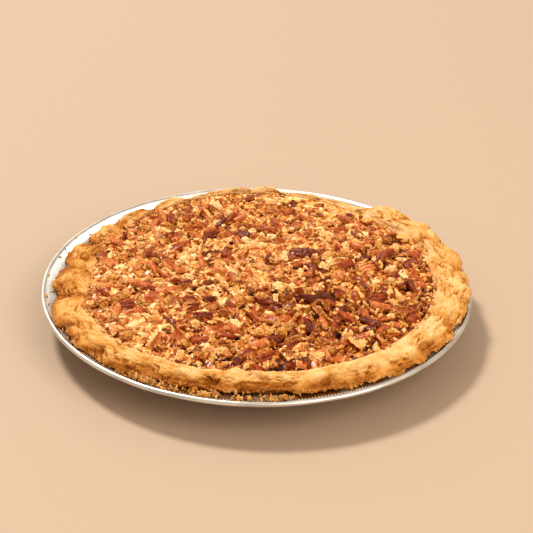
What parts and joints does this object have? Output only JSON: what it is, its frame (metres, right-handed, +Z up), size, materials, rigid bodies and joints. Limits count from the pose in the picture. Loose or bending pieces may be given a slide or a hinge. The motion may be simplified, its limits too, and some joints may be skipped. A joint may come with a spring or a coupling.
{
  "type": "pecan pie",
  "caption": "Whole round pecan pie with a finger-pinched pastry rim, topped with chopped pecans, in its shallow foil tin.",
  "frame": {"origin": "middle of the tin's foot, on the surface that it stands on", "axes": "+Z up along the tin's own axis; +X to the right and +Y away from the viewer in the picture"},
  "size_m": [0.244, 0.244, 0.0339],
  "materials": {
    "foil": "bright rolled foil, finely fluted rim",
    "pastry": "stands for golden baked shortcrust pastry, flaky and matt",
    "pecans": "stands for chopped toasted pecans set in a syrup custard, glossy skins and paler broken flesh"
  },
  "bodies": {
    "root": {"tin": "foil", "crust": "pastry", "filling": "pecans"}
  },
  "joints": []
}
